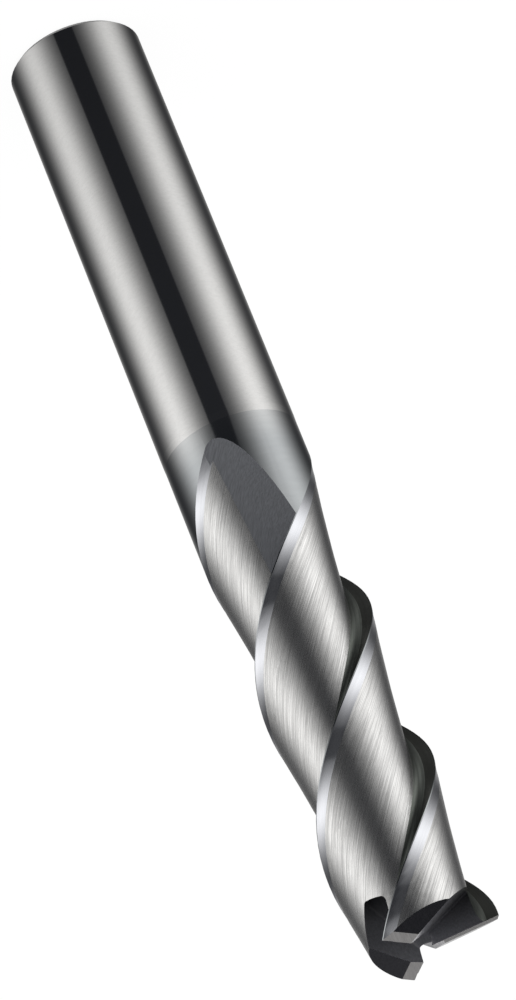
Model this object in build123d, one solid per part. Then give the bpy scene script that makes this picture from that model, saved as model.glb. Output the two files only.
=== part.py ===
from build123d import *
import math
import os

# Main sizes, in millimetres and degrees. The teeth are ground a little smaller than the shank
shank_diameter = 10.0
cutting_diameter = 9.96
overall_length = 76.0
shank_length = 34.5
blend_length = 0.6
cutting_length = 32.1
shank_chamfer = 0.35
flute_count = 3
helix_angle = 39.7

# Where the centre-cutting edge ends at the tip, as an angle about the tool's axis
first_edge_angle = -173.4

# The rim that grinds the flutes: its size, its swivel from square and how near it comes to the axis
rim_diameter = 150.0
rim_swivel = 36.3
rim_floor_radius = 3.09

# How much deeper the rim sits where it halts, so that its face crosses the flute in one clean line
rim_bite = 0.01

# Cross-section of a tooth
rake_angle = 2.0
gullet_radius = 0.6
margin_width = 0.1
land_width = 1.0

# The two reliefs behind each end edge: the first falls gently, the second steeply
end_relief_width = 0.95
end_relief_angle = 9.0
end_clearance_angle = 21.0

# How far round behind its edge a tooth's end relief runs, short of the next gash's rake face
end_relief_sweep = 110.0

# The gash in front of each end edge, in the order of the teeth. The first passes the axis and cuts
# the second edge short, the second is deepest and cuts the third edge short, and the third leaves
# the first edge whole. Each has its axial rake, the depth of its bottom on the axis, the bottom's
# fall outwards and width, the opening between rake face and floor, and the radius in its corners.
gashes = [
    dict(rake=15.0, depth=1.1, fall=27.8, width=0.2, opening=59.6, corner=0.08),
    dict(rake=10.0, depth=0.97, fall=33.6, width=1.72, opening=37.9, corner=0.3),
    dict(rake=12.0, depth=0.05, fall=31.0, width=0.8, opening=45.0, corner=0.3),
]

# How far cutters pass the faces that they cut, and their size against the tool's radius
overrun = 1.0
cutter_reach = 1.5
block_reach = 4.5

# How closely the curve of a tooth's back is fitted, and points of it are found
back_fit_points = 9
smallest_step = 1e-6

shank_radius = shank_diameter / 2
radius = cutting_diameter / 2
outer_reach = cutter_reach * radius
tooth_pitch = 360 / flute_count
lead = math.pi * cutting_diameter / math.tan(math.radians(helix_angle))
rise_per_radian = lead / (2 * math.pi)
rim_radius = rim_diameter / 2
rim_reach = rim_radius + rim_floor_radius


def solve(error, low, high):
    """Halve the span from low to high down to the place where error changes sign."""
    low_sign = error(low) > 0
    while abs(high - low) > smallest_step:
        middle = (low + high) / 2
        if (error(middle) > 0) == low_sign:
            low = middle
        else:
            high = middle
    return (low + high) / 2


def polar(distance, angle):
    return Vector(distance, 0, 0).rotate(Axis.Z, angle)


def angle_of(point):
    return math.degrees(math.atan2(point.Y, point.X))


# The rim stands off along X, with its axis in the YZ plane
toward_rim = Vector(1, 0, 0)
rim_axis = Vector(0, 1, 0).rotate(Axis.X, -rim_swivel)
across_rim = rim_axis.cross(toward_rim)
contact_slope = -rim_reach * math.tan(math.radians(rim_swivel)) - rise_per_radian


def contact(turn):
    """The point where the rim touches the helical flute, turn degrees round the rim."""
    angle = math.radians(turn)
    outward = toward_rim * math.cos(angle) + across_rim * math.sin(angle)
    along = rim_axis * (contact_slope * math.tan(angle))
    return toward_rim * rim_reach + along - outward * rim_radius


def unwound(point):
    """The point screwed along the helix down to Z = 0."""
    return point.rotate(Axis.Z, -math.degrees(point.Z / rise_per_radian)) - Vector(0, 0, point.Z)


def back_point(turn):
    """A point of the tooth's back in the cross-section at Z = 0."""
    return unwound(contact(turn))


# The back of a tooth starts behind its margin and runs in to the rake line of the next tooth
widest_turn = math.degrees(math.asin(math.sqrt(radius / rim_radius)))
ridge_turn = solve(lambda turn: back_point(turn).length - radius, 0, -widest_turn)
ridge = back_point(ridge_turn)
next_edge = angle_of(ridge) + math.degrees(margin_width / radius) - tooth_pitch
edge_point = polar(radius, next_edge)
rake_direction = polar(1, next_edge + 180 + rake_angle)
rake_normal = rake_direction.rotate(Axis.Z, 90)
rake_turn = solve(lambda turn: (back_point(turn) - edge_point).dot(rake_normal), ridge_turn, 0)
land_turn = solve(lambda turn: (back_point(turn) - ridge).length - land_width, ridge_turn, rake_turn)

# One flute's cross-section: flat land, curved back, gullet and rake line, closed outside the tool
heel = back_point(land_turn)
root = back_point(rake_turn)
land_outside = ridge + (ridge - heel) * (outer_reach - radius)
rake_outside = edge_point - rake_direction * (outer_reach - radius)
turn_step = (rake_turn - land_turn) / (back_fit_points - 1)
back_curve = Spline([back_point(land_turn + turn_step * step) for step in range(back_fit_points)])
closing_middle = polar(outer_reach, next_edge + tooth_pitch / 2)
flute_section = make_face(
    [
        Line(land_outside, heel),
        back_curve,
        Line(root, rake_outside),
        ThreePointArc(rake_outside, closing_middle, land_outside),
    ]
)
flute_section = fillet(flute_section.vertices().sort_by_distance(root)[0], gullet_radius)


def twist(section, bottom, top):
    """Extrude a cross-section of Z = 0 along the helix from bottom to top."""
    start = Pos(0, 0, bottom) * Rot(0, 0, math.degrees(bottom / rise_per_radian)) * section.face()
    turn = math.degrees((top - bottom) / rise_per_radian)
    return Solid.extrude_linear_with_rotation(start, (0, 0, bottom), (0, 0, top - bottom), turn)


def edge_at(height):
    """The next tooth's cutting edge at this height."""
    return edge_point.rotate(Axis.Z, math.degrees(height / rise_per_radian)) + Vector(0, 0, height)


def clear_of_rim(height):
    """How far the cutting edge stands outside the rim at this height."""
    offset = edge_at(height) - toward_rim * rim_reach
    return offset.cross(rim_axis).length - rim_radius


# The cutting edge starts where the rim leaves it
rim_start = contact(ridge_turn)
rim_end = contact(rake_turn)
edge_start = solve(clear_of_rim, (rim_start.Z + rim_end.Z) / 2, rim_end.Z)
tip = edge_start + cutting_length
flute_bottom = rim_start.Z - radius
helical_void = twist(flute_section, flute_bottom, tip + overrun)

# The rim halts on its last line of contact, and short of there the flute is as deep as the rim cuts
block = block_reach * radius
at_base = (Align.CENTER, Align.CENTER, Align.MIN)
halt = Plane((rim_start + rim_end) / 2, x_dir=toward_rim, z_dir=toward_rim.cross(rim_end - rim_start))
rim_centre = toward_rim * (rim_reach - rim_bite)
rim = Plane(rim_centre, x_dir=toward_rim, z_dir=rim_axis) * Cylinder(rim_radius, 2 * block)
stock = Pos(0, 0, flute_bottom - overrun) * Cylinder(
    outer_reach + overrun, rim_end.Z - flute_bottom + overrun, align=at_base
)
short_of_halt = stock & (halt * Box(2 * block, 2 * block, 2 * block, align=at_base))
flute = helical_void - (short_of_halt - rim)


# The reliefs and gashes are drawn with X outwards along an edge, Y ahead of it and Z = 0 at the tip
def drop(distance, angle):
    return distance * math.tan(math.radians(angle))


def end_relief():
    """The space over the two reliefs behind an edge."""
    far = outer_reach
    clearance_start = -drop(end_relief_width, end_relief_angle)
    clearance_end = clearance_start - drop(far - end_relief_width, end_clearance_angle)
    slope = make_face(
        Polyline(
            (overrun, drop(overrun, end_relief_angle)),
            (-end_relief_width, clearance_start),
            (-far, clearance_end),
            (-far, far),
            (overrun, far),
            close=True,
        )
    )
    space = extrude(Plane.YZ * slope, far, both=True)
    ahead = Plane((0, 0, 0), z_dir=polar(1, 90 - end_relief_sweep))
    return split(space, ahead, keep=Keep.TOP)


def gash(rake, depth, fall, width, opening, corner):
    """A slot with one side through the edge, a bottom square to it and an open floor."""
    along_edge = Vector(1, 0, 0)
    down_rake = Vector(0, 0, -1).rotate(Axis.X, -rake)
    off_rake = Axis((0, 0, 0), along_edge.cross(down_rake))
    along_bottom = along_edge.rotate(off_rake, fall)
    section_plane = Plane(down_rake * depth, x_dir=along_bottom.rotate(off_rake, -90), z_dir=along_bottom)
    floor_start = Vector(0, -width, 0)
    floor_end = floor_start + polar(block, -opening)
    section = make_face(Polyline((0, 0), floor_start, floor_end, (block, 0), close=True))
    section = fillet(section.vertices().sort_by(Axis.X)[:2], corner)
    return extrude(section_plane * section, block, both=True)


# The round blank: a chamfered shank that blends into the body. The flutes and the end are ground into it
blank_outline = Polyline(
    (0, 0),
    (shank_radius - shank_chamfer, 0),
    (shank_radius, shank_chamfer),
    (shank_radius, shank_length),
    (radius, shank_length + blend_length),
    (radius, overall_length),
    (0, overall_length),
    close=True,
)
tool = revolve(Plane.XZ * make_face(blank_outline), Axis.Z)
flute_turn = first_edge_angle - angle_of(edge_at(tip))
for number in range(flute_count):
    tool -= Rot(0, 0, flute_turn + number * tooth_pitch) * Pos(0, 0, overall_length - tip) * flute
for number in range(flute_count):
    edge_angle = first_edge_angle + number * tooth_pitch
    tooth_end = Plane((0, 0, overall_length), x_dir=polar(1, edge_angle), z_dir=(0, 0, 1))
    tool -= tooth_end * end_relief()
    tool -= tooth_end * gash(**gashes[number])

os.makedirs("parts", exist_ok=True)
export_step(tool, "parts/slot_end_mill.step")
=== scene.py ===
import math

import bpy
from mathutils import Matrix, Vector


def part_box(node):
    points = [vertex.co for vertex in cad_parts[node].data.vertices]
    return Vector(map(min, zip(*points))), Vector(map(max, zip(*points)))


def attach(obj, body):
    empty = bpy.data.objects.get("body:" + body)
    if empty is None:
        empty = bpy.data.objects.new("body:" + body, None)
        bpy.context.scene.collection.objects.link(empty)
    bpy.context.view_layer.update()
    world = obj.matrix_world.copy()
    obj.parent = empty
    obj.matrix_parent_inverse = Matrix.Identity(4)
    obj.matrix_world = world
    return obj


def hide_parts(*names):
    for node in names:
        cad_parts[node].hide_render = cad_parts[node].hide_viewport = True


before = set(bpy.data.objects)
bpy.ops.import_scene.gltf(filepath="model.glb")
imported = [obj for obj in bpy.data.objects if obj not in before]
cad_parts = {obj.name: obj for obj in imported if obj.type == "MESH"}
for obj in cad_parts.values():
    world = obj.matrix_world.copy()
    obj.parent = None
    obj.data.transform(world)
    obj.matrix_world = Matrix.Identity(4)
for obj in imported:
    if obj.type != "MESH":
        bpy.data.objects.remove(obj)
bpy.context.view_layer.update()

bl_info = {
    "name": "Slot End Mill",
    "version": (1, 0, 0),
    "blender": (4, 5, 0),
    "location": "3D View > Sidebar > End Mill",
    "description": "Gives the packed slot end mill its ground finishes and a white studio",
    "category": "Object",
}

MM = 0.001
NODE = "slot_end_mill"
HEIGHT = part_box(NODE)[1].z

# Two faces of the mesh belong to one face of the solid where their normals along a shared edge differ by
# less than this
SMOOTH_BEND = 0.01

# The faces of the solid are told apart by how far they face outwards, upwards or along the flutes, from 0 for
# not at all to 1 for straight that way. These are the least values for the round body, for the shank, a flute
# or a land, for a gullet, for a facet behind an end edge and for a run-out
ROUND_OUTWARD = 0.99
OPEN_OUTWARD = 0.9
GULLET_OUTWARD = 0.2
FACET_UPWARD = 0.9
RUN_OUT_SLANT = 0.1

# Faces that end within this distance of a height count as ending there
TOLERANCE = 0.1 * MM

# How fast the pattern of grinding lines changes along the tool, against across the lines
LINE_STRETCH = 0.015

# Most of a noise pattern lies between these two values
NOISE_LOW = 0.3
NOISE_HIGH = 0.7


def linear(text):
    """An sRGB hex colour as linear red, green and blue."""
    parts = [int(text[i : i + 2], 16) / 255 for i in (1, 3, 5)]
    return tuple(c / 12.92 if c <= 0.04045 else ((c + 0.055) / 1.055) ** 2.4 for c in parts)


def colour_property(name, description, text):
    return bpy.props.FloatVectorProperty(
        name=name, description=description, subtype="COLOR", size=3, min=0, max=1, default=linear(text)
    )


def size_property(name, description, size):
    return bpy.props.FloatProperty(
        name=name, description=description, unit="LENGTH", default=size, precision=5
    )


def angle_property(name, description, degrees):
    return bpy.props.FloatProperty(
        name=name, description=description, subtype="ANGLE", default=math.radians(degrees)
    )


class EndMillSizes(bpy.types.PropertyGroup):
    """Where one ground surface of the tool ends and the next begins."""

    shank_length: size_property("Shank length", "Height where the coated body begins", 35.1 * MM)
    coating_fade: size_property("Coating fade", "Height over which the coating sets in", 2.5 * MM)
    lead: size_property("Lead", "Height of one full turn of the flutes", 37.69 * MM)
    land_width: size_property("Land width", "Width of the smooth relief behind each cutting edge", 1.1 * MM)
    end_depth: size_property("End depth", "Faces wholly this close to the tip belong to the end", 6.0 * MM)
    gash_depth: size_property("Gash depth", "How far below the tip the gashes reach", 3.7 * MM)
    relief_depth: size_property("Relief depth", "How far below the tip the end reliefs may reach", 0.3 * MM)
    first_edge: angle_property("First edge", "Angle at which a cutting edge meets the tip", -173.4)
    teeth: bpy.props.IntProperty(name="Teeth", description="Number of cutting edges", default=3, min=1)


class EndMillColours(bpy.types.PropertyGroup):
    """Colours of the tool's ground surfaces."""

    shank: colour_property("Shank", "Bare carbide, ground and polished", "#E6E6E6")
    # Painted shade: the shank's colour fades to the shank foot colour towards its end
    shank_foot_painted_shade: colour_property("Shank foot", "The shank's end, darkened by holders", "#CBCBCB")
    body: colour_property("Body", "Carbide under a thin clear coating", "#BCC0C3")
    flute: colour_property("Flutes", "Carbide ground lengthwise", "#E2E2E2")
    land: colour_property("Lands", "Finely ground relief behind the edges", "#E2E4EA")
    run_out: colour_property("Run-outs", "Matt faces that the wheel leaves as it lifts out", "#C2C5CC")
    # Painted shade: the rake faces are the flutes' carbide, given a dark colour for the shade of the next
    # tooth
    rake: colour_property("Rake faces", "Deep faces under the cutting edges", "#565854")
    # Painted shade: the gullets are given a darker colour than the flutes for the shade in the hollows
    gullet: colour_property("Gullets", "The hollows between rake face and flute", "#7F847F")
    end_relief: colour_property("End reliefs", "Narrow faces right behind the end edges", "#DAD8D8")
    # Painted shade: the end clearances are given a darker colour than the end reliefs, which are ground the
    # same way
    clearance: colour_property("End clearances", "Wide facets that fall away behind the tip", "#86868D")
    gash: colour_property("Gashes", "Slots ground in front of the end edges", "#F0F0F5")
    # Painted shade: the gash bottom colour darkens the deep outer ends of the gashes
    gash_bottom_painted_shade: colour_property("Gash bottoms", "The deep outer ends of the gashes", "#3A3A3D")


class EndMillStudio(bpy.types.PropertyGroup):
    """The floor, the light and the camera."""

    floor_colour: colour_property("Floor", "Matt paper that the tool stands on", "#F4F4F4")
    floor_radius: size_property("Floor radius", "Radius of the round floor", 3.0)
    card_colour: colour_property("Cards", "The bright cards that the metal mirrors", "#FFFEFC")
    gap_colour: colour_property("Gaps", "The dark between the cards", "#242528")
    camera_place: bpy.props.FloatVectorProperty(
        name="Camera place",
        description="Where the camera stands",
        subtype="XYZ",
        unit="LENGTH",
        default=(-0.39 * MM, -358.9 * MM, 225.75 * MM),
    )
    camera_tilt: angle_property("Camera tilt", "How far it is raised from looking straight down", 62.585)
    camera_roll: angle_property("Camera roll", "How far it is rolled, which hangs the tip down", 157.977)
    focal_length: bpy.props.FloatProperty(
        name="Focal length", description="Lens in millimetres on a 36 mm sensor", default=206.4
    )


def add_node(tree, kind, inputs=(), **settings):
    """Adds a node with its settings. An input is a node or one of its outputs, linked, or a plain value."""
    node = tree.nodes.new(kind)
    for name, value in settings.items():
        setattr(node, name, value)
    for socket, value in dict(inputs).items():
        if isinstance(value, bpy.types.Node):
            value = value.outputs[0]
        if isinstance(value, bpy.types.NodeSocket):
            tree.links.new(value, node.inputs[socket])
        else:
            node.inputs[socket].default_value = value
    return node


def emptied_tree(owner):
    """The node tree of a material or world, with no nodes left in it."""
    owner.use_nodes = True
    owner.node_tree.nodes.clear()
    return owner.node_tree


def helical_place(tree, lead):
    """The surface point screwed down along the flutes, nearly constant along a line ground lengthwise."""
    place = add_node(tree, "ShaderNodeTexCoord").outputs["Object"]
    x, y, z = add_node(tree, "ShaderNodeSeparateXYZ", {0: place}).outputs
    flat = add_node(tree, "ShaderNodeCombineXYZ", {0: x, 1: y})
    turn = add_node(tree, "ShaderNodeMath", {0: z, 1: -2 * math.pi / lead}, operation="MULTIPLY")
    turned = add_node(tree, "ShaderNodeVectorRotate", {0: flat, "Angle": turn})
    slow = add_node(tree, "ShaderNodeMath", {0: z, 1: LINE_STRETCH}, operation="MULTIPLY")
    rise = add_node(tree, "ShaderNodeCombineXYZ", {2: slow})
    return add_node(tree, "ShaderNodeVectorMath", {0: rise, 1: turned})


def across_flute(tree, lead):
    """The direction square to the flutes on the tool's surface, in which their lines spread a highlight."""
    place = add_node(tree, "ShaderNodeTexCoord").outputs["Object"]
    spin = (0, 0, 2 * math.pi / lead)
    around = add_node(tree, "ShaderNodeVectorMath", {0: spin, 1: place}, operation="CROSS_PRODUCT")
    along = add_node(tree, "ShaderNodeVectorMath", {0: around, 1: (0, 0, 1)})
    normal = add_node(tree, "ShaderNodeNewGeometry").outputs["Normal"]
    return add_node(tree, "ShaderNodeVectorMath", {0: normal, 1: along}, operation="CROSS_PRODUCT")


def stretched_place(tree, stretch, seed=(0, 0, 0)):
    """The surface point stretched for lines ground in one direction. The seed, in radians, turns the
    stretched pattern, which gives a surface lines of its own."""
    place = add_node(tree, "ShaderNodeTexCoord").outputs["Object"]
    return add_node(tree, "ShaderNodeMapping", {"Vector": place, "Rotation": seed, "Scale": stretch})


def fade_upwards(tree, low_end, high_end, low_colour, high_colour, low_share=1.0):
    """From low_colour, mixed in by low_share at height low_end, to high_colour at height high_end."""
    place = add_node(tree, "ShaderNodeTexCoord").outputs["Object"]
    height = add_node(tree, "ShaderNodeSeparateXYZ", {0: place}).outputs[2]
    fade = {0: height, 1: low_end, 2: high_end, 3: 1 - low_share, 4: 1.0}
    share = add_node(tree, "ShaderNodeMapRange", fade)
    colours = {0: share, 6: (*low_colour, 1), 7: (*high_colour, 1)}
    return add_node(tree, "ShaderNodeMix", colours, data_type="RGBA").outputs[2]


def ground_metal(name, colour, course, spacing, roughness, streaks, relief, anisotropy=0.0, tangent=None):
    """Metal with grinding lines. The course adds nodes for the point whose noise draws them, and the tangent
    nodes for the direction in which they smear highlights. The spacing is the distance between lines, the
    relief is their depth, and the streaks are how far they lighten and darken the metal, while its roughness
    varies between two values. The colour is a plain one or a function that adds nodes for it.
    Real lines stand about 0.01 mm apart, too fine to show, so each finish draws them coarser."""
    material = bpy.data.materials.new(name)
    tree = emptied_tree(material)
    noise = {"Vector": course(tree), "Scale": 1 / spacing, "Detail": 2.0, "Roughness": 0.7}
    lines = add_node(tree, "ShaderNodeTexNoise", noise)
    span = {0: lines, 1: NOISE_LOW, 2: NOISE_HIGH}
    shade = add_node(tree, "ShaderNodeMapRange", {**span, 3: 1 - streaks, 4: 1 + streaks})
    plain = colour(tree) if callable(colour) else (*colour,)
    tint = add_node(tree, "ShaderNodeVectorMath", {0: plain, "Scale": shade}, operation="SCALE")
    low, high = roughness
    rough = add_node(tree, "ShaderNodeMapRange", {**span, 3: high, 4: low})
    bump = add_node(tree, "ShaderNodeBump", {"Height": lines, "Strength": 1.0, "Distance": relief})
    metal = {"Base Color": tint, "Metallic": 1.0, "Roughness": rough, "Normal": bump}
    if tangent:
        metal.update({"Anisotropic": anisotropy, "Tangent": tangent(tree)})
    surface = add_node(tree, "ShaderNodeBsdfPrincipled", metal)
    add_node(tree, "ShaderNodeOutputMaterial", {"Surface": surface})
    return material


def metal_ground_lengthwise(name, colour, sizes, **finish):
    """Metal with lines that follow the flutes and smear highlights across them."""
    return ground_metal(
        name,
        colour,
        course=lambda tree: helical_place(tree, sizes.lead),
        tangent=lambda tree: across_flute(tree, sizes.lead),
        **finish,
    )


def metal_ground_across_the_tip(name, colour, roughness):
    """Metal with the fine, hardly visible lines of the last wheel, which grinds the facets of the tip."""
    return ground_metal(
        name,
        colour,
        course=lambda tree: stretched_place(tree, stretch=(1, 0.06, 1), seed=(0, 0, 0.7)),
        spacing=0.16 * MM,
        roughness=roughness,
        streaks=0.06,
        relief=0.0003 * MM,
    )


def polished_shank(sizes, colours):
    """Tungsten carbide, centreless ground and polished. Fine rings run round it, so it mirrors the studio
    in long clean bands. Its colour is painted darker towards the end, as painted shade."""

    # Painted shade: the colour darkens towards the shank's end
    def painted_end_shade(tree):
        return fade_upwards(tree, 0.0, sizes.shank_length, colours.shank_foot_painted_shade, colours.shank)

    return ground_metal(
        "polished_tungsten_carbide",
        painted_end_shade,
        course=lambda tree: stretched_place(tree, stretch=(0.5, 0.5, 1)),
        spacing=0.2 * MM,
        roughness=(0.07, 0.09),
        streaks=0.03,
        relief=0.0001 * MM,
    )


def faced_end(sizes, colours):
    """Tungsten carbide, ground flat across the end, which gives a silky grey with straight lines."""
    return ground_metal(
        "faced_tungsten_carbide",
        colours.shank,
        course=lambda tree: stretched_place(tree, stretch=(0.05, 1, 1), seed=(0, 0, 0.5)),
        spacing=0.2 * MM,
        roughness=(0.22, 0.34),
        streaks=0.05,
        relief=0.002 * MM,
    )


def coated_body(sizes, colours):
    """Ground tungsten carbide under a thin clear coating, a little duller and bluer than the bare shank. The
    coating is thinner where it starts."""

    def coating(tree):
        start, end = sizes.shank_length, sizes.shank_length + sizes.coating_fade
        return fade_upwards(tree, start, end, colours.shank, colours.body, low_share=0.45)

    return ground_metal(
        "coated_tungsten_carbide",
        coating,
        course=lambda tree: stretched_place(tree, stretch=(0.15, 0.15, 1)),
        spacing=0.3 * MM,
        roughness=(0.09, 0.13),
        streaks=0.02,
        relief=0.0003 * MM,
    )


def brushed_flutes(sizes, colours):
    """Tungsten carbide ground lengthwise by the flute wheel. It shows long streaks along the flute and
    smears highlights across it."""
    return metal_ground_lengthwise(
        "lengthwise_ground_tungsten_carbide",
        colours.flute,
        sizes,
        spacing=0.06 * MM,
        roughness=(0.2, 0.3),
        streaks=0.32,
        relief=0.004 * MM,
        anisotropy=0.7,
    )


def fine_lands(sizes, colours):
    """Finely ground relief behind each edge: smooth enough to mirror the studio in soft-edged patches."""
    return metal_ground_lengthwise(
        "finely_ground_tungsten_carbide",
        colours.land,
        sizes,
        spacing=0.3 * MM,
        roughness=(0.15, 0.19),
        streaks=0.03,
        relief=0.0008 * MM,
        anisotropy=0.3,
    )


def dull_rakes(sizes, colours):
    """The rake faces, ground by the wheel's side: dull, and painted dark, as painted shade from the next
    tooth that they face.
    """
    return metal_ground_lengthwise(
        "side_ground_tungsten_carbide",
        colours.rake,
        sizes,
        spacing=0.2 * MM,
        roughness=(0.36, 0.46),
        streaks=0.1,
        relief=0.003 * MM,
        anisotropy=0.5,
    )


def satin_gullets(sizes, colours):
    """The gullets, ground by the wheel's corner: duller than the open flute, and painted darker, as painted
    shade in the hollow.
    """
    return metal_ground_lengthwise(
        "corner_ground_tungsten_carbide",
        colours.gullet,
        sizes,
        spacing=0.12 * MM,
        roughness=(0.32, 0.42),
        streaks=0.2,
        relief=0.004 * MM,
        anisotropy=0.5,
    )


def matt_run_outs(sizes, colours):
    """The face that the wheel's rim leaves as it lifts out: matt, with fine lines the way the rim turned."""
    return ground_metal(
        "matt_ground_tungsten_carbide",
        colours.run_out,
        course=lambda tree: helical_place(tree, sizes.lead),
        spacing=0.1 * MM,
        roughness=(0.3, 0.42),
        streaks=0.2,
        relief=0.002 * MM,
    )


def end_reliefs(sizes, colours):
    """The narrow reliefs behind the end edges, ground last and finest: a light even satin."""
    return metal_ground_across_the_tip(
        "fine_ground_tungsten_carbide_end", colours.end_relief, roughness=(0.2, 0.26)
    )


def end_clearances(sizes, colours):
    """The wide facets behind the end reliefs, ground across the tip: flat and satin, and painted dark as
    painted shade.
    """
    return metal_ground_across_the_tip(
        "cross_ground_tungsten_carbide", colours.clearance, roughness=(0.16, 0.22)
    )


def rough_gashes(sizes, colours):
    """The gashes, ground in one pass by a coarser wheel: dull, with straight lines, and painted nearly black
    at the deep outer ends, as painted shade deep in the slots."""

    def painted_depth_shade(tree):
        # Painted shade: darker towards the bottom of the gashes
        bottom, top = HEIGHT - sizes.gash_depth, HEIGHT - sizes.relief_depth
        return fade_upwards(tree, bottom, top, colours.gash_bottom_painted_shade, colours.gash)

    return ground_metal(
        "gash_ground_tungsten_carbide",
        painted_depth_shade,
        course=lambda tree: stretched_place(tree, stretch=(1, 0.08, 1), seed=(0.4, 0, 1.9)),
        spacing=0.16 * MM,
        roughness=(0.28, 0.36),
        streaks=0.14,
        relief=0.0006 * MM,
    )


# The tool's surfaces, in the order of its material slots
SURFACES = {
    "shank": polished_shank,
    "shank end": faced_end,
    "body": coated_body,
    "flute": brushed_flutes,
    "land": fine_lands,
    "run-out": matt_run_outs,
    "end relief": end_reliefs,
    "end clearance": end_clearances,
    "gash": rough_gashes,
    "rake": dull_rakes,
    "gullet": satin_gullets,
}


def smooth_patches(mesh):
    """The mesh's faces in groups that shade smoothly into each other, one for each face of the solid."""
    group = list(range(len(mesh.polygons)))

    def leader(index):
        while group[index] != index:
            group[index] = group[group[index]]
            index = group[index]
        return index

    corner_normals = {}
    beside = {}
    for polygon in mesh.polygons:
        for loop in polygon.loop_indices:
            corner_normals[polygon.index, mesh.loops[loop].vertex_index] = mesh.corner_normals[loop].vector
            beside.setdefault(mesh.loops[loop].edge_index, []).append(polygon.index)
    for edge, polygons in beside.items():
        first, *others = polygons
        for other in others:
            ends = mesh.edges[edge].vertices
            bends = [(corner_normals[first, end] - corner_normals[other, end]).length for end in ends]
            if max(bends) < SMOOTH_BEND:
                group[leader(first)] = leader(other)
    patches = {}
    for polygon in mesh.polygons:
        patches.setdefault(leader(polygon.index), []).append(polygon)
    return patches.values()


def surface_of(mesh, patch, sizes):
    """Which ground surface a patch belongs to, from its height, its place and the way it faces."""
    rise = sizes.lead / (2 * math.pi)
    pitch = 2 * math.pi / sizes.teeth
    area = sum(polygon.area for polygon in patch)
    upward = outward = along_flute = behind_edge = 0
    for polygon in patch:
        share = polygon.area / area
        centre = polygon.center
        normals = [mesh.corner_normals[loop].vector for loop in polygon.loop_indices]
        normal = sum(normals, Vector()).normalized()
        out = Vector((centre.x, centre.y, 0))
        helix = Vector((-centre.y, centre.x, rise)).normalized()
        unwound = math.atan2(centre.y, centre.x) + (HEIGHT - centre.z) / rise
        upward += share * normal.z
        outward += share * normal.dot(out.normalized())
        along_flute += share * abs(normal.dot(helix))
        behind_edge += share * ((sizes.first_edge - unwound) % pitch * out.length)
    bottom = min(mesh.vertices[index].co.z for polygon in patch for index in polygon.vertices)
    if bottom < sizes.shank_length - TOLERANCE:
        return "shank" if outward > OPEN_OUTWARD else "shank end"
    if bottom > HEIGHT - sizes.end_depth:
        if upward < FACET_UPWARD:
            return "gash"
        return "end relief" if bottom > HEIGHT - sizes.relief_depth else "end clearance"
    if outward > ROUND_OUTWARD:
        return "body"
    if along_flute > RUN_OUT_SLANT:
        return "run-out"
    if outward < OPEN_OUTWARD:
        return "gullet" if outward > GULLET_OUTWARD else "rake"
    return "land" if behind_edge < sizes.land_width else "flute"


# The size of the grain in the floor's paper, drawn coarse, and how dark it makes the paper at most
PAPER_GRAIN = 6.67 * MM
PAPER_SHADE = 0.99

# For the camera most of the floor is this plain white, and the rest keeps the tool's shadow
WHITE_SHARE = 0.9
WHITE_GLOW = 1.04


def pale_floor(studio):
    """Matt white paper, which the camera sees as the photograph's white with a faint shadow."""
    material = bpy.data.materials.new("matt_white_paper")
    tree = emptied_tree(material)
    noise = {"Scale": 2 * studio.floor_radius / PAPER_GRAIN, "Detail": 3.0}
    grain = add_node(tree, "ShaderNodeTexNoise", noise)
    shade = add_node(tree, "ShaderNodeMapRange", {0: grain, 3: PAPER_SHADE, 4: 1.0})
    plain = (*studio.floor_colour,)
    tint = add_node(tree, "ShaderNodeVectorMath", {0: plain, "Scale": shade}, operation="SCALE")
    paper = add_node(tree, "ShaderNodeBsdfDiffuse", {"Color": tint, "Roughness": 1.0})
    glow = add_node(tree, "ShaderNodeEmission", {"Color": (1, 1, 1, 1), "Strength": WHITE_GLOW})
    camera_ray = add_node(tree, "ShaderNodeLightPath").outputs["Is Camera Ray"]
    share = add_node(tree, "ShaderNodeMath", {0: camera_ray, 1: WHITE_SHARE}, operation="MULTIPLY")
    both = add_node(tree, "ShaderNodeMixShader", {0: share, 1: paper, 2: glow})
    add_node(tree, "ShaderNodeOutputMaterial", {"Surface": both})
    return material


# The soft cards round the tool: the angle of each from the camera's side, positive to the camera's right,
# how far it fades out to either side, both in degrees, and its brightness
LOW_CARDS = [(-70, 24, 0.94), (75, 23.5, 0.96)]
BACK_CARDS = [(180, 16, 0.9)]

# The same above the horizon, where only the backdrop shows, and near the ceiling, where a lamp hangs behind
HIGH_CARDS = [(180, 12, 0.38)]
LAMPS = [(180, 30, 0.4)]

# How the cards change with height, which runs from -1 straight below to 1 overhead: each change starts at
# one height and ends at another, with a factor before it and one after it
LOW_CHANGES = [(-0.97, -0.88, 3.0, 1.0), (-0.95, -0.5, 0.25, 1.0), (-0.44, -0.15, 1.0, 1.3)]
BACK_CHANGES = [(-0.46, -0.2, 0.36, 1.0)]
HIGH_CHANGES = [(0.68, 0.58, 0.0, 1.0), (-0.1, 0.45, 0.0, 1.0)]
LAMP_CHANGES = [(0.76, 0.86, 0.0, 1.0)]

# Half the width of the dark card in front, through which the camera looks, and the softness of its edge, in
# degrees
FRONT_GAP = 17
GAP_EDGE = 1

# The heights between which the far floor begins to shine, how brightly it does, and the heights between which
# the backdrop takes over from the low cards
FAR_FLOOR = (-0.44, -0.15)
FAR_FLOOR_GLOW = 0.035
HORIZON = (-0.08, 0.04)

# The strength of the even light on matt surfaces
SOFT_LIGHT = 0.9


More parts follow.
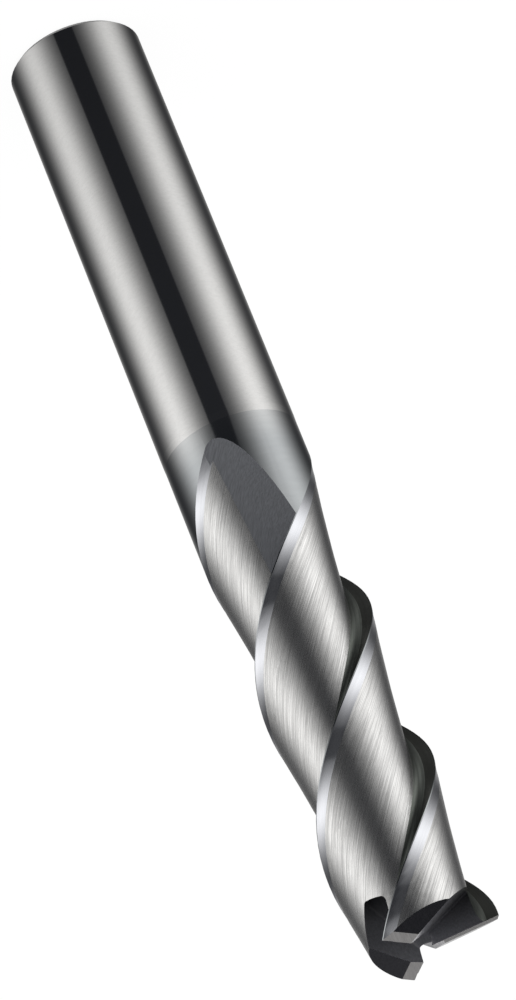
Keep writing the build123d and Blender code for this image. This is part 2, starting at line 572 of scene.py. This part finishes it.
def ring_of_cards(tree, angle, height, cards, changes):
    """The brightness of soft cards that stand in a ring, in the direction of this angle and height. Each
    fades sideways along a bell curve."""
    ring = 0.0
    for centre, fade, brightness in cards:
        aside = add_node(tree, "ShaderNodeMath", {0: angle, 1: math.radians(centre)}, operation="SUBTRACT")
        aside = add_node(tree, "ShaderNodeMath", {0: aside, 1: math.pi, 2: -math.pi}, operation="WRAP")
        square = add_node(tree, "ShaderNodeMath", {0: aside, 1: aside}, operation="MULTIPLY")
        steepness = -0.5 / math.radians(fade) ** 2
        slope = add_node(tree, "ShaderNodeMath", {0: square, 1: steepness}, operation="MULTIPLY")
        glow = add_node(tree, "ShaderNodeMath", {0: slope}, operation="EXPONENT")
        ring = add_node(tree, "ShaderNodeMath", {0: glow, 1: brightness, 2: ring}, operation="MULTIPLY_ADD")
    for start, end, before, after in changes:
        values = {0: height, 1: start, 2: end, 3: before, 4: after}
        change = add_node(tree, "ShaderNodeMapRange", values, interpolation_type="SMOOTHSTEP")
        ring = add_node(tree, "ShaderNodeMath", {0: ring, 1: change}, operation="MULTIPLY")
    return ring


def studio_world(studio):
    """White for the camera, even soft light for matt surfaces, and the cards for the metal."""
    world = bpy.data.worlds.new("studio")
    tree = emptied_tree(world)
    rays = add_node(tree, "ShaderNodeLightPath").outputs

    # The angle is 0 towards the camera's side and grows to the camera's right
    way = add_node(tree, "ShaderNodeTexCoord").outputs["Generated"]
    back = add_node(tree, "ShaderNodeVectorMath", {0: way, 1: (-1, -1, 1)}, operation="MULTIPLY")
    x, y, height = add_node(tree, "ShaderNodeSeparateXYZ", {0: back}).outputs
    angle = add_node(tree, "ShaderNodeMath", {0: x, 1: y}, operation="ARCTAN2")

    # The low cards with the dark gap in front, the shine of the far floor, and the card behind
    low = ring_of_cards(tree, angle, height, LOW_CARDS, LOW_CHANGES)
    side = add_node(tree, "ShaderNodeMath", {0: angle}, operation="ABSOLUTE")
    edges = {0: side, 1: math.radians(FRONT_GAP - GAP_EDGE), 2: math.radians(FRONT_GAP + GAP_EDGE)}
    beside_gap = add_node(tree, "ShaderNodeMapRange", edges, interpolation_type="SMOOTHSTEP")
    low = add_node(tree, "ShaderNodeMath", {0: low, 1: beside_gap}, operation="MULTIPLY")
    far_floor = {0: height, 1: FAR_FLOOR[0], 2: FAR_FLOOR[1], 4: FAR_FLOOR_GLOW}
    shine = add_node(tree, "ShaderNodeMapRange", far_floor, interpolation_type="SMOOTHSTEP")
    low = add_node(tree, "ShaderNodeMath", {0: low, 1: shine})
    behind = ring_of_cards(tree, angle, height, BACK_CARDS, BACK_CHANGES)
    low = add_node(tree, "ShaderNodeMath", {0: low, 1: behind})

    # The backdrop above the horizon, and the lamp over it
    high = ring_of_cards(tree, angle, height, HIGH_CARDS, HIGH_CHANGES)
    horizon = {0: height, 1: HORIZON[0], 2: HORIZON[1]}
    above = add_node(tree, "ShaderNodeMapRange", horizon, interpolation_type="SMOOTHSTEP")
    cards = add_node(tree, "ShaderNodeMix", {0: above, 2: low, 3: high})
    lamp = ring_of_cards(tree, angle, height, LAMPS, LAMP_CHANGES)
    cards = add_node(tree, "ShaderNodeMath", {0: cards, 1: lamp})

    colours = {0: cards, 6: (*studio.gap_colour, 1), 7: (*studio.card_colour, 1)}
    mirrored = add_node(tree, "ShaderNodeMix", colours, data_type="RGBA", clamp_factor=False).outputs[2]
    mirrored = add_node(tree, "ShaderNodeBackground", {"Color": mirrored})
    soft = add_node(tree, "ShaderNodeBackground", {"Color": (1, 1, 1, 1), "Strength": SOFT_LIGHT})
    seen = add_node(tree, "ShaderNodeBackground", {"Color": (1, 1, 1, 1), "Strength": 1.0})
    light = add_node(tree, "ShaderNodeMixShader", {0: rays["Is Glossy Ray"], 1: soft, 2: mirrored})
    both = add_node(tree, "ShaderNodeMixShader", {0: rays["Is Camera Ray"], 1: light, 2: seen})
    add_node(tree, "ShaderNodeOutputWorld", {"Surface": both})
    return world


class ENDMILL_OT_tool(bpy.types.Operator):
    """Dress the tool in its ground surfaces"""

    bl_idname = "end_mill.tool"
    bl_label = "Dress Tool"

    def execute(self, context):
        sizes, colours = context.scene.end_mill_sizes, context.scene.end_mill_colours
        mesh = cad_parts[NODE].data.copy()
        tool = bpy.data.objects.new("ground_tool", mesh)
        context.collection.objects.link(tool)
        mesh.materials.clear()
        for make in SURFACES.values():
            mesh.materials.append(make(sizes, colours))
        names = list(SURFACES)
        for patch in smooth_patches(mesh):
            number = names.index(surface_of(mesh, patch, sizes))
            for polygon in patch:
                polygon.material_index = number
        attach(tool, "root")
        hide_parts(NODE)
        return {"FINISHED"}


class ENDMILL_OT_stage(bpy.types.Operator):
    """Make the pale floor, the soft light and the camera"""

    bl_idname = "end_mill.stage"
    bl_label = "Build Studio"

    def execute(self, context):
        studio = context.scene.end_mill_studio
        bpy.ops.mesh.primitive_circle_add(vertices=96, radius=studio.floor_radius, fill_type="NGON")
        floor = context.object
        floor.name = "floor"
        floor.data.materials.append(pale_floor(studio))
        floor.visible_glossy = False
        context.scene.world = studio_world(studio)

        camera_data = bpy.data.cameras.new("camera")
        camera_data.sensor_width = 36
        camera_data.lens = studio.focal_length
        camera_data.clip_start = 10 * MM
        camera = bpy.data.objects.new("camera", camera_data)
        context.collection.objects.link(camera)
        tilt = Matrix.Rotation(studio.camera_tilt, 4, "X")
        roll = Matrix.Rotation(studio.camera_roll, 4, "Z")
        camera.matrix_world = Matrix.Translation(studio.camera_place) @ tilt @ roll
        context.scene.camera = camera
        context.scene.view_settings.view_transform = "Standard"
        return {"FINISHED"}


class ENDMILL_PT_panel(bpy.types.Panel):
    """The end mill's surfaces and studio."""

    bl_label = "End Mill"
    bl_idname = "ENDMILL_PT_panel"
    bl_space_type = "VIEW_3D"
    bl_region_type = "UI"
    bl_category = "End Mill"

    def draw(self, context):
        scene = context.scene
        for groups, operator in (
            ((scene.end_mill_sizes, scene.end_mill_colours), ENDMILL_OT_tool),
            ((scene.end_mill_studio,), ENDMILL_OT_stage),
        ):
            box = self.layout.box()
            for group in groups:
                for name in group.__annotations__:
                    box.prop(group, name)
            box.operator(operator.bl_idname)


CLASSES = (EndMillSizes, EndMillColours, EndMillStudio, ENDMILL_OT_tool, ENDMILL_OT_stage, ENDMILL_PT_panel)


def register():
    for item in CLASSES:
        bpy.utils.register_class(item)
    bpy.types.Scene.end_mill_sizes = bpy.props.PointerProperty(type=EndMillSizes)
    bpy.types.Scene.end_mill_colours = bpy.props.PointerProperty(type=EndMillColours)
    bpy.types.Scene.end_mill_studio = bpy.props.PointerProperty(type=EndMillStudio)


def unregister():
    del bpy.types.Scene.end_mill_studio
    del bpy.types.Scene.end_mill_colours
    del bpy.types.Scene.end_mill_sizes
    for item in reversed(CLASSES):
        bpy.utils.unregister_class(item)


def main():
    register()
    bpy.ops.end_mill.tool()
    bpy.ops.end_mill.stage()


if __name__ == "__main__":
    main()
